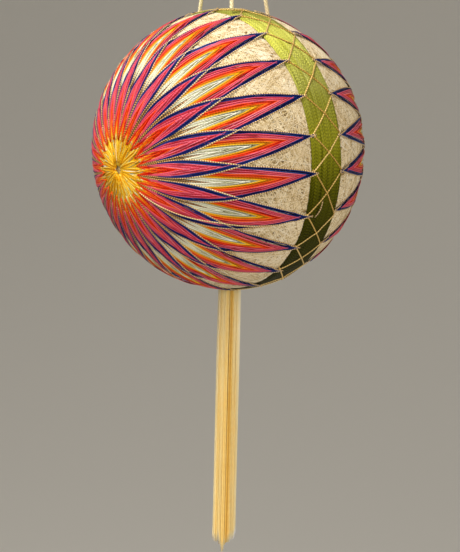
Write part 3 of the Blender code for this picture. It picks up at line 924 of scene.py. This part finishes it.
def bind_belt(belt):
    """Parallel turns of olive thread: circles of the ball side by side between the edges,
    each wandering a little with three slow sines, the edge ones lower. Their tint is painted
    light and shade: paler where they pass over the top and darker towards the underside."""
    rng = np.random.default_rng(5)
    samples = 160
    pitch = (belt.back - belt.front) / belt.turns
    phi = np.broadcast_to(np.arange(samples) * math.tau / samples, (belt.turns, samples))
    middle = belt.front + pitch * (np.arange(belt.turns)[:, None] + 0.5)
    shared = sum(rng.normal(0.0, 0.0022) * np.sin(n * phi + rng.uniform(0, math.tau)) for n in (2, 3, 5))
    own = sum(
        rng.normal(0.0, 0.18, (belt.turns, 1)) * pitch * np.sin(n * phi + rng.uniform(0, math.tau, (belt.turns, 1)))
        for n in (3, 7, 12))
    theta = middle + shared + own
    edge = np.abs(np.linspace(-1.0, 1.0, belt.turns))[:, None] ** 8
    lift = belt.top - 0.2 * MM - 0.25 * MM * edge + rng.normal(0.0, 0.02 * MM, (belt.turns, 1))
    lift = lift + 0.015 * MM * np.sin(9 * phi + rng.uniform(0, math.tau, (belt.turns, 1)))
    runs = np.repeat(np.arange(belt.turns), samples)
    # Painted light and shade: the tint rises where a turn passes over the top and falls towards the underside.
    height = 0.5 - 0.5 * np.cos(phi)
    deep = np.interp(height, (0.05, 0.25, 0.5, 0.73, 0.92), (0.22, 0.26, -0.18, -0.62, -0.95))
    tint = (rng.normal(0.0, 0.05, (belt.turns, 1)) + deep).ravel()
    wide = 0.51 * MM
    points = on_ball(theta, phi, lift).reshape(-1, 3)
    piece = thread_mesh("belt_turns", points, outward(theta, phi).reshape(-1, 3), runs,
                        laid_profile(wide, 0.55 * MM), tint, closed=True, under=False)
    material = thread_material("olive thread", tuple(belt.olive), pitch=1.1, groove=0.8, spread=1.0,
                               patches=0.15, roughness=0.45, metallic=0.85, sheen=0.0, bump=0.08, turn=0.5,
                               edge=0.3)
    dress(piece, material, "belt")


# The lattice's corners that sit off their places: line, lines off, degrees off.
FRONT_CORNERS = {0: (-0.05, 0.0), 1: (-0.03, 0.5), 2: (0.0, 0.4), 3: (-0.03, 0.6), 4: (-0.04, 0.0),
                 5: (-0.16, -0.4), 6: (-0.01, -1.2), 7: (-0.03, -0.9), 8: (-0.11, -0.9)}
BACK_CORNERS = {0: (0.17, -1.2), 1: (0.08, 0.0), 2: (0.01, 1.0), 3: (0.01, 0.6), 4: (-0.01, 0.0),
                5: (-0.08, 0.0), 6: (0.13, 0.0), 7: (0.08, -1.0), 8: (-0.02, -1.0)}


def lattice_corners(rng):
    """The corners' guide-line places and angles, front edge first: regular ones with a small
    scatter, and the seen ones as sewn."""
    lines = np.arange(PETALS) + rng.normal(0.0, 0.04, (2, PETALS))
    theta = np.degrees([[math.radians(82.5)], [math.radians(97.5)]]) + rng.normal(0.0, 0.4, (2, PETALS))
    for side, table in enumerate((FRONT_CORNERS, BACK_CORNERS)):
        for corner, (off, more) in table.items():
            lines[side, corner] = corner + off
            theta[side, corner] = (82.5, 97.5)[side] + more
    return lines, np.radians(theta)


def lay_lattice(belt):
    """Gold legs from corner to corner across the belt. A leg runs evenly in angle and line
    between its corners and half a millimetre past each, where it dips into the belt. The
    legs of the second thread rise over the first where they cross."""
    rng = np.random.default_rng(8)
    lines, angles = lattice_corners(rng)
    share = np.linspace(-0.03, 1.03, 19)
    start = np.arange(PETALS)
    for thread in (0, 1):
        rising = (start + thread) % 2
        first = (rising, start)
        second = (1 - rising, (start + 1) % PETALS)
        wrap = np.where(second[1] == 0, PETALS, 0)
        from_line, to_line = lines[first], lines[second] + wrap
        line = from_line[:, None] + (to_line - from_line)[:, None] * share
        theta = angles[first][:, None] + (angles[second] - angles[first])[:, None] * share
        middle = belt.top + 0.16 * MM + np.zeros_like(line)
        middle += thread * 0.34 * MM * np.exp(-((share - 0.5) / 0.09) ** 2)
        middle[:, [0, -1]] -= 0.4 * MM
        phi = FIRST_LINE + line * PITCH
        runs = np.repeat(np.arange(PETALS), len(share))
        # Painted shade: the legs of lines up to 4.5 that start on the front edge are darker, fading out by line 7,
        # where they lead away from the light.
        away = np.interp(start, (4.5, 7.0), (-0.30, 0.0)) * (rising == 0)
        tint = np.repeat(rng.normal(0.0, 0.05, PETALS) + away, len(share))
        name = "lattice_thread_b" if thread else "lattice_thread_a"
        profile = round_profile(6, belt.lattice_wide, 0.8 * belt.lattice_wide)
        piece = thread_mesh(name, on_ball(theta, phi, middle).reshape(-1, 3),
                            outward(theta, phi).reshape(-1, 3), runs, profile, tint)
        dress(piece, lattice_material(), "belt_thread_b" if thread else "belt_thread_a")


# The hanging cords.

CORDS_MEET = 120.5 * MM             # over the ball's centre
CORD_REACH = 15.5 * MM
CORD_TURNS = {"front": 51.8, "right": 163.8, "left": -85.2}
KNOT_BOTTOM = 116.0 * MM
VIEW_TURN = math.radians(48.62)     # the camera's way round from -Y


def over_centre(x, y, height):
    return BALL_CENTRE + np.array((x, y, height))


def cord_route(side):
    """The straight line of a taut cord, read off its solid: foot, unit pull and length."""
    bearing = math.radians(CORD_TURNS[side])
    low, high = (np.array(corner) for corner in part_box("hang_cord_" + side))
    meet = over_centre(0.0, 0.0, CORDS_MEET)
    outer = over_centre(CORD_REACH * math.sin(bearing), -CORD_REACH * math.cos(bearing), 47.5 * MM)
    pull = unit(meet - outer)
    foot = meet - pull * (meet[2] - low[2]) / pull[2]
    return foot, pull, (high[2] - low[2]) / pull[2]


def twisted_cord(path, ups, wide, plies=3, pitch=4.2 * MM, sides=7):
    """Plies wound round a path: each ply's middle is the path plus a quarter of the width
    turned by its length over the pitch. Gives flat points, ups and runs."""
    step = np.r_[0.0, np.linalg.norm(path[1:] - path[:-1], axis=1)]
    along = np.cumsum(step)
    tangent = run_tangents(path, np.zeros(len(path)))
    side = unit(np.cross(tangent, ups))
    up = np.cross(side, tangent)
    points, outs = [], []
    for ply in range(plies):
        angle = math.tau * (along / pitch + ply / plies)
        out = side * np.cos(angle)[:, None] + up * np.sin(angle)[:, None]
        points.append(path + out * wide * 0.21)
        outs.append(out)
    runs = np.repeat(np.arange(plies), len(path))
    return np.concatenate(points), np.concatenate(outs), runs, round_profile(sides, wide * 0.60)


def cord_material():
    hanging = bpy.context.scene.temari_hanging
    return thread_material("pale gold cord", tuple(hanging.cord_colour), pitch=0.7, groove=0.2,
                           spread=1.0, patches=0.25, roughness=0.5, sheen=0.25, bump=0.06)


class TEMARI_OT_cords(bpy.types.Operator):
    """Hang the ball from its three twisted cords"""

    bl_idname = "temari.cords"
    bl_label = "Hang Cords"

    def execute(self, context):
        wide = context.scene.temari_hanging.cord_wide
        knot = tie_knot(wide)
        for side in CORD_TURNS:
            foot, pull, length = cord_route(side)
            share = np.linspace(0.0, 1.0, 150)[:, None]
            path = foot + pull * length * share
            ups = np.broadcast_to(unit(np.cross(pull, (1.0, 0.3, 0.0))), path.shape)
            points, outs, runs, profile = twisted_cord(path, ups, wide)
            cord = thread_mesh(side + "_hanging_cord", points, outs, runs, profile, np.zeros(len(points)))
            dress(cord, cord_material(), "hang_cord_" + side)
        return {"FINISHED"}


def tie_knot(wide):
    """The gathering knot and the loop over it, one mesh: a close trefoil of cord, with
    x = sin t + 2 sin 2t, y = cos t - 2 cos 2t, z = -sin 3t, and a teardrop above it."""
    t = np.linspace(0.0, math.tau, 160, endpoint=False)
    trefoil = np.stack([np.sin(t) + 2 * np.sin(2 * t), np.cos(t) - 2 * np.cos(2 * t), -1.5 * np.sin(3 * t)], axis=1)
    knot_path = over_centre(0.0, 0.0, 118.6 * MM) + trefoil * (0.72 * MM, 0.72 * MM, 1.0 * MM)
    knot_ups = unit(knot_path - over_centre(0.0, 0.0, 118.6 * MM))
    share = np.linspace(0.0, 1.0, 120)
    crown = over_centre(0.0, 0.0, 0.0) * 0.0
    crown[2] = wide / 2
    root = over_centre(0.0, 0.0, 118.6 * MM)
    height = root[2] + (crown[2] - root[2]) * np.sin(math.pi * share) ** 0.8
    wave = np.sin(math.tau * share)
    side = 3.75 * MM * wave * (0.75 + 0.25 * np.abs(wave))
    side += 0.6 * MM * np.where(share < 0.5, 1.0, -1.0) * np.abs(np.cos(math.pi * share))
    loop_path = np.stack([side * math.cos(VIEW_TURN), side * math.sin(VIEW_TURN), height], axis=1)
    across = np.array((math.sin(VIEW_TURN), -math.cos(VIEW_TURN), 0.0))
    parts = [twisted_cord(knot_path, knot_ups, wide), twisted_cord(loop_path, np.broadcast_to(across, loop_path.shape), wide)]
    points = np.concatenate([part[0] for part in parts])
    outs = np.concatenate([part[1] for part in parts])
    runs = np.concatenate([parts[0][2], parts[1][2] + 3])
    knot = thread_mesh("hanging_knot", points, outs, runs, parts[0][3], np.zeros(len(points)))
    return dress(knot, cord_material(), "hang_knot")


# The tassel.

TASSEL_TOP = 51.0 * MM              # below the ball's centre
TASSEL_REACH = 158.0 * MM
TASSEL_WIDE = 9.2 * MM
TASSEL_DEEP = 6.8 * MM
TASSEL_LEAN = -0.0104
TASSEL_SHIFT = 1.37 * MM

# The locks that the strands gather in: across and deep, from -1 to 1.
LOCKS = (
    (-0.85, 0.0), (-0.55, -0.4), (-0.5, 0.5), (-0.28, 0.3),
    (-0.10, -0.25), (0.52, -0.28), (0.52, 0.42), (0.88, 0.0),
)
# How far above the tassel's tip the strands end, in mm, from its left edge to its right one.
END_PLACES = (-0.56, -0.53, -0.46, -0.43, -0.24, -0.21, -0.05, -0.02, 0.10, 0.13, 0.46, 0.50, 0.85, 0.90)
END_RISES = (3.6, 5.8, 5.8, 2.8, 2.5, 0.0, 0.0, 2.5, 2.8, 3.6, 3.9, 4.8, 5.0, 6.0)
# Painted light and shade across the tassel, from its left edge to its right one: the tint at each place.
SILK_PLACES = (-1.0, -0.86, -0.78, -0.56, -0.37, -0.17, 0.03, 0.20, 0.37, 0.55, 0.66, 0.84, 1.0)
SILK_LIGHT_AND_SHADE = (0.28, 0.24, -0.02, 0.02, 0.14, -0.12, 0.0, -0.62, -0.05, 0.14, -0.02, 0.20, 0.28)


class TEMARI_OT_tassel(bpy.types.Operator):
    """Hang the silk tassel under the ball"""

    bl_idname = "temari.tassel"
    bl_label = "Hang Tassel"

    def execute(self, context):
        hang_tassel(context.scene.temari_hanging)
        return {"FINISHED"}


def hang_tassel(hanging):
    """Straight silk strands. Their places fill an ellipse by a sunflower's rule (radius the
    root of the count, turn the golden angle), and each is drawn a little towards the middle
    of its lock, which leaves a groove between the locks. The silk's tint paints light and
    shade: painted shade in the groove right of the middle, painted light at the edges, near
    the top and at the cut ends."""
    rng = np.random.default_rng(3)
    count = hanging.strands
    number = np.arange(count) + 0.5
    spot_radius = np.sqrt(number / count)
    spot_turn = number * math.pi * (3.0 - math.sqrt(5.0))
    spots = np.stack([spot_radius * np.cos(spot_turn), spot_radius * np.sin(spot_turn)], axis=1)
    spots += rng.normal(0.0, 0.015, spots.shape)
    locks = np.array(LOCKS)
    distance = np.linalg.norm(spots[:, None] - locks[None], axis=2)
    lock = distance.argmin(axis=1)
    spots += (locks[lock] - spots) * 0.06
    short = np.interp(spots[:, 0], END_PLACES, END_RISES) * MM + np.abs(rng.normal(0.0, 0.2 * MM, count))
    length = TASSEL_REACH - TASSEL_TOP - short
    samples = 16
    share = np.linspace(0.0, 1.0, samples) ** 0.6
    down = length[:, None] * share
    phase = rng.uniform(0.0, math.tau, (count, 1))
    gather = np.interp(down, (0.0, 12 * MM, 105 * MM), (0.90, 0.93, 1.0))
    sway = 0.06 * MM * np.sin(down / (24 * MM) + phase)
    x = spots[:, :1] * TASSEL_WIDE / 2 * gather + TASSEL_SHIFT + TASSEL_LEAN * down + sway
    y = -spots[:, 1:] * TASSEL_DEEP / 2 * gather + 0.10 * MM * np.cos(down / (20 * MM) + phase)
    splay = rng.normal(0.0, 0.06 * MM, (count, 2))
    end = np.clip((share - 0.93) / 0.07, 0.0, 1.0) ** 2
    x = x + splay[:, :1] * end
    y = y + splay[:, 1:] * end
    points = np.stack([
        BALL_CENTRE[0] + x * math.cos(VIEW_TURN) - y * math.sin(VIEW_TURN),
        BALL_CENTRE[1] + x * math.sin(VIEW_TURN) + y * math.cos(VIEW_TURN),
        BALL_CENTRE[2] - TASSEL_TOP - down], axis=-1).reshape(-1, 3)
    ups = np.broadcast_to((math.sin(VIEW_TURN), -math.cos(VIEW_TURN), 0.0), points.shape)
    runs = np.repeat(np.arange(count), samples)
    # Painted light and shade: the tint across the tassel by place, paler over the last 3 mm of each strand and down
    # from the top over 50 mm, where the ball shades it.
    shade = np.interp(spots[:, 0], SILK_PLACES, SILK_LIGHT_AND_SHADE)
    cut = np.clip(1.0 - (length[:, None] - down) / (3 * MM), 0.0, 1.0)
    top = np.clip(1.0 - down / (50 * MM), 0.0, 1.0)
    tint = ((rng.normal(0.06, 0.03, count) + shade)[:, None] + 0.5 * cut + 0.15 * top).ravel()
    piece = thread_mesh("tassel_silk", points, ups, runs, round_profile(5, hanging.strand_wide), tint)
    material = thread_material("golden silk", tuple(hanging.silk), pitch=3.0, groove=0.15, patches=0.2,
                               roughness=0.38, sheen=1.0, sheen_tint=(1.0, 0.75, 0.35), bump=0.05,
                               painted_groove_shade=tuple(hanging.silk_shade))
    dress(piece, material, "tassel")


# The stage.

def stage_material(name, colour, roughness):
    material = bpy.data.materials.new(name)
    material.use_nodes = True
    shader = material.node_tree.nodes["Principled BSDF"]
    shader.inputs["Base Color"].default_value = (*colour, 1.0)
    shader.inputs["Roughness"].default_value = roughness
    return material


class TEMARI_OT_stage(bpy.types.Operator):
    """Set the pale floor, the soft lights and the camera"""

    bl_idname = "temari.stage"
    bl_label = "Set Stage"

    def execute(self, context):
        lay_floor()
        set_lights(context.scene)
        set_camera(context.scene)
        return {"FINISHED"}


def lay_floor():
    """A pale floor that bends up far out: height is a quarter circle past the flat part."""
    low = BALL_CENTRE[2] - 0.8
    bend = np.linspace(0.1, math.pi / 2, 14)
    radius = np.r_[0.001, np.linspace(0.1, 1.0, 8), 1.0 + 1.8 * np.sin(bend)]
    height = np.r_[np.zeros(9), 1.8 * (1.0 - np.cos(bend))]
    turn = np.arange(64) * math.tau / 64
    points = np.stack([radius[:, None] * np.cos(turn), radius[:, None] * np.sin(turn),
                       low + height[:, None] + 0.0 * turn], axis=-1)
    floor = grid_object("floor", points)
    floor.data.materials.append(stage_material("pale floor", (0.88, 0.86, 0.81), 0.9))


def camera_axes():
    """The camera's right, up and back directions: turned round from -Y, pitched down and
    rolled a little, as in the photo."""
    turn = Matrix.Rotation(VIEW_TURN, 4, "Z") @ Matrix.Rotation(math.radians(90.0 - 12.5), 4, "X")
    return turn @ Matrix.Rotation(math.radians(0.75), 4, "Z")


def add_light(name, place, aim, size, power, colour):
    lamp = bpy.data.lights.new(name, "AREA")
    lamp.size = size
    lamp.energy = power
    lamp.color = colour
    thing = bpy.data.objects.new(name, lamp)
    thing.location = place
    thing.rotation_euler = (Vector(aim) - Vector(place)).to_track_quat("-Z", "Y").to_euler()
    bpy.context.scene.collection.objects.link(thing)


def set_lights(scene):
    """A soft key high to the left, two weak fills by the camera and at its left, and a pale
    sky."""
    axes = camera_axes().to_3x3()
    right, back = axes.col[0], axes.col[2]
    centre = Vector(BALL_CENTRE)
    sky = Vector((0.0, 0.0, 1.0))
    add_light("key", centre - right * 0.32 + sky * 0.60 + back * 0.26, centre, 0.45, 7.9, (1.0, 0.96, 0.89))
    add_light("fill", centre + right * 0.35 - sky * 0.12 + back * 0.75, centre, 0.4, 3.2, (1.0, 0.93, 0.84))
    add_light("side", centre - right * 0.75 + sky * 0.05 + back * 0.30, centre, 0.35, 1.2, (1.0, 0.92, 0.80))
    world = bpy.data.worlds.new("pale room")
    world.use_nodes = True
    world.node_tree.nodes["Background"].inputs["Color"].default_value = (0.95, 0.91, 0.85, 1.0)
    world.node_tree.nodes["Background"].inputs["Strength"].default_value = 0.24
    scene.world = world
    scene.view_settings.view_transform = "Standard"


def set_camera(scene):
    """The photo's camera: 885 pixels of focal length over a 552-pixel height, placed so that
    the ball is seen as large and as high in the frame as in the photo."""
    data = bpy.data.cameras.new("photo camera")
    data.sensor_width = 36.0
    data.lens = 36.0 * 885.0 / 552.0
    data.clip_start = 0.01
    data.clip_end = 20.0
    camera = bpy.data.objects.new("photo camera", data)
    place = Vector(BALL_CENTRE) + Vector((244.29, -213.29, 25.79)) * MM
    camera.matrix_world = Matrix.Translation(place) @ camera_axes()
    scene.collection.objects.link(camera)
    scene.camera = camera


class TEMARI_PT_panel(bpy.types.Panel):
    """Lists the ball's making steps"""

    bl_label = "Temari Ball"
    bl_idname = "TEMARI_PT_panel"
    bl_space_type = "VIEW_3D"
    bl_region_type = "UI"
    bl_category = "Temari"

    def draw(self, context):
        layout = self.layout
        for name, _ in SETTINGS:
            box = layout.box()
            settings = getattr(context.scene, name)
            for prop in settings.bl_rna.properties:
                if prop.identifier not in {"rna_type", "name"}:
                    box.prop(settings, prop.identifier)
        for operator in OPERATORS:
            layout.operator(operator.bl_idname)


SETTINGS = (
    ("temari_ball", BallSettings), ("temari_flower", FlowerSettings),
    ("temari_belt", BeltSettings), ("temari_hanging", HangingSettings),
)
OPERATORS = (
    TEMARI_OT_stage, TEMARI_OT_cords, TEMARI_OT_wound_ball, TEMARI_OT_flowers, TEMARI_OT_belt, TEMARI_OT_tassel,
)


def register():
    for name, settings in SETTINGS:
        bpy.utils.register_class(settings)
        setattr(bpy.types.Scene, name, PointerProperty(type=settings))
    for operator in OPERATORS:
        bpy.utils.register_class(operator)
    bpy.utils.register_class(TEMARI_PT_panel)


def unregister():
    bpy.utils.unregister_class(TEMARI_PT_panel)
    for operator in reversed(OPERATORS):
        bpy.utils.unregister_class(operator)
    for name, settings in reversed(SETTINGS):
        delattr(bpy.types.Scene, name)
        bpy.utils.unregister_class(settings)


def main():
    register()
    bpy.ops.temari.stage()
    bpy.ops.temari.cords()
    bpy.ops.temari.wound_ball()
    bpy.ops.temari.flowers()
    bpy.ops.temari.belt()
    bpy.ops.temari.tassel()


if __name__ == "__main__":
    main()
